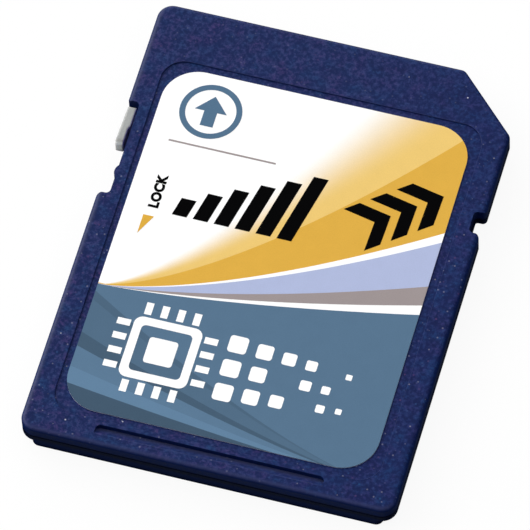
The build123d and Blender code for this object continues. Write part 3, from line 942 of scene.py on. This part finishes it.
def pale_floor(colour):
    """Floor finish that glows pale with a faint shadow, throws little light back at the card's walls, and
    glows in strips before the card's front and right side that only the walls' reflections see.
    """
    material = bpy.data.materials.new("studio_floor")
    material.use_nodes = True
    material.node_tree.nodes.clear()
    wiring = Wiring(material.node_tree)
    glow = wiring.add("ShaderNodeEmission")
    shadowed = wiring.add("ShaderNodeBsdfDiffuse")
    thrown = wiring.add("ShaderNodeBsdfDiffuse")
    mirrored = wiring.add("ShaderNodeEmission")
    path = wiring.add("ShaderNodeLightPath")
    wiring.feed(glow.inputs["Color"], Vector(colour) * FLOOR_GLOW)
    wiring.feed(shadowed.inputs["Color"], Vector(colour) * FLOOR_SHADOWED)
    wiring.feed(thrown.inputs["Color"], (FLOOR_THROWN, FLOOR_THROWN, FLOOR_THROWN))
    where = wiring.axes(wiring.add("ShaderNodeNewGeometry").outputs["Position"])
    near, far = CAD_BOX[0].y, CAD_BOX[1].x
    front = wiring.span(where["Y"], near - 0.45 * MM, near - 0.1 * MM, MIRROR_FRONT, 0.0)
    right = wiring.span(where["X"], far + 0.1 * MM, far + 0.6 * MM, 0.0, MIRROR_RIGHT)
    wiring.feed(mirrored.inputs["Color"], MIRROR_TINT)
    wiring.feed(mirrored.inputs["Strength"], wiring.math("MAXIMUM", front, right))
    others = wiring.choose(path.outputs["Is Glossy Ray"], thrown.outputs[0], mirrored.outputs[0])
    seen = wiring.add("ShaderNodeAddShader")
    wiring.feed(seen.inputs[0], glow.outputs[0])
    wiring.feed(seen.inputs[1], shadowed.outputs[0])
    choice = wiring.choose(path.outputs["Is Camera Ray"], others, seen.outputs[0])
    wiring.feed(wiring.add("ShaderNodeOutputMaterial").inputs["Surface"], choice)
    return material


def studio_surround(studio):
    """Surround that glows low down from the slider's side round to the contact end, and looks pale itself."""
    world = bpy.data.worlds.new("studio_surround")
    world.use_nodes = True
    world.node_tree.nodes.clear()
    wiring = Wiring(world.node_tree)
    direction = wiring.place("Generated")
    towards_glow = wiring.add("ShaderNodeVectorMath", operation="DOT_PRODUCT")
    wiring.feed(towards_glow.inputs[0], direction)
    wiring.feed(towards_glow.inputs[1], GLOW_FROM)
    side = wiring.span(towards_glow.outputs["Value"], 0.2, 0.95, 0.0, studio.side_glow, smooth=True)
    low = wiring.span(wiring.axes(direction)["Z"], 0.5, 0.8, 1.0, 0.0, smooth=True)
    strength = wiring.math("ADD", wiring.times(side, low), studio.surround)
    backdrop = wiring.add("ShaderNodeBackground")
    around = wiring.add("ShaderNodeBackground")
    wiring.feed(backdrop.inputs["Color"], tuple(studio.floor))
    wiring.feed(around.inputs["Color"], (1.0, 1.0, 1.0))
    wiring.feed(around.inputs["Strength"], strength)
    path = wiring.add("ShaderNodeLightPath")
    choice = wiring.choose(path.outputs["Is Camera Ray"], around.outputs[0], backdrop.outputs[0])
    wiring.feed(wiring.add("ShaderNodeOutputWorld").inputs["Surface"], choice)
    return world


def soft_light(name, place, size, power):
    """A square soft light that looks at the card."""
    lamp = bpy.data.lights.new(name, "AREA")
    lamp.shape = "SQUARE"
    lamp.size = size
    lamp.energy = power
    holder = bpy.data.objects.new(name, lamp)
    holder.location = place
    holder.rotation_euler = (-Vector(place)).to_track_quat("-Z", "Y").to_euler()
    holder.visible_camera = False
    bpy.context.scene.collection.objects.link(holder)


def photo_camera(studio):
    """A camera at the photograph's viewing angle, turned by its roll."""
    camera = bpy.data.cameras.new("camera")
    camera.lens = studio.lens
    camera.sensor_width = SENSOR_WIDTH
    camera.clip_start = 0.02
    camera.clip_end = 5.0
    holder = bpy.data.objects.new("camera", camera)
    a, e, r = studio.azimuth, studio.elevation, studio.roll
    back = Vector((math.sin(a) * math.cos(e), -math.cos(a) * math.cos(e), math.sin(e)))
    level = Vector((math.cos(a), math.sin(a), 0.0))
    right = level * math.cos(r) + back.cross(level) * math.sin(r)
    turn = Matrix((right, back.cross(right), back)).transposed().to_4x4()
    holder.matrix_world = Matrix.Translation(Vector(studio.aim) + back * studio.distance) @ turn
    bpy.context.scene.collection.objects.link(holder)
    return holder


class MEMORY_CARD_OT_stage(bpy.types.Operator):
    """Set the floor, the soft lights and the camera"""

    bl_idname = "memory_card.stage"
    bl_label = "Stage"

    def execute(self, context):
        scene = context.scene
        studio = scene.card_looks.studio
        sheet = bmesh.new()
        bmesh.ops.create_grid(sheet, x_segments=4, y_segments=4, size=FLOOR_HALF)
        bmesh.ops.translate(sheet, verts=sheet.verts, vec=(0.0, 0.0, CAD_BOX[0].z - 0.01 * MM))
        mesh = bpy.data.meshes.new("floor")
        sheet.to_mesh(mesh)
        sheet.free()
        mesh.materials.append(pale_floor(studio.floor))
        floor = bpy.data.objects.new("floor", mesh)
        scene.collection.objects.link(floor)
        soft_light("roof_light", ROOF_PLACE, ROOF_SIZE, studio.roof_strength)
        scene.world = studio_surround(studio)
        scene.view_settings.view_transform = "Standard"
        scene.view_settings.look = "None"
        scene.camera = photo_camera(studio)
        return {"FINISHED"}


STEPS = (
    MEMORY_CARD_OT_shell,
    MEMORY_CARD_OT_slider,
    MEMORY_CARD_OT_label,
    MEMORY_CARD_OT_insertion_arrow,
    MEMORY_CARD_OT_level_bars,
    MEMORY_CARD_OT_chevrons,
    MEMORY_CARD_OT_lock_mark,
    MEMORY_CARD_OT_chip_picture,
    MEMORY_CARD_OT_contacts,
    MEMORY_CARD_OT_board,
    MEMORY_CARD_OT_components,
    MEMORY_CARD_OT_stage,
)


class MEMORY_CARD_PT_looks(bpy.types.Panel):
    """Lists the steps and the choices for the memory card"""

    bl_label = "Memory card"
    bl_space_type = "VIEW_3D"
    bl_region_type = "UI"
    bl_category = "Memory card"

    def draw(self, context):
        looks = context.scene.card_looks
        for step in STEPS:
            self.layout.operator(step.bl_idname)
        for group in (looks.shell, looks.label, looks.inside, looks.studio):
            box = self.layout.box()
            for name in group.__annotations__:
                box.prop(group, name)


CLASSES = (ShellLooks, LabelLooks, InsideLooks, StudioLooks, CardLooks, *STEPS, MEMORY_CARD_PT_looks)


def register():
    """Makes the choices, the steps and the panel known to Blender."""
    for one in CLASSES:
        bpy.utils.register_class(one)
    bpy.types.Scene.card_looks = PointerProperty(type=CardLooks)


def unregister():
    """Takes the panel, the steps and the choices away again."""
    del bpy.types.Scene.card_looks
    for one in reversed(CLASSES):
        bpy.utils.unregister_class(one)


def main():
    """Builds all looks in order."""
    register()
    bpy.ops.memory_card.shell()
    bpy.ops.memory_card.slider()
    bpy.ops.memory_card.label()
    bpy.ops.memory_card.insertion_arrow()
    bpy.ops.memory_card.level_bars()
    bpy.ops.memory_card.chevrons()
    bpy.ops.memory_card.lock_mark()
    bpy.ops.memory_card.chip_picture()
    bpy.ops.memory_card.contacts()
    bpy.ops.memory_card.board()
    bpy.ops.memory_card.components()
    bpy.ops.memory_card.stage()


if __name__ == "__main__":
    main()
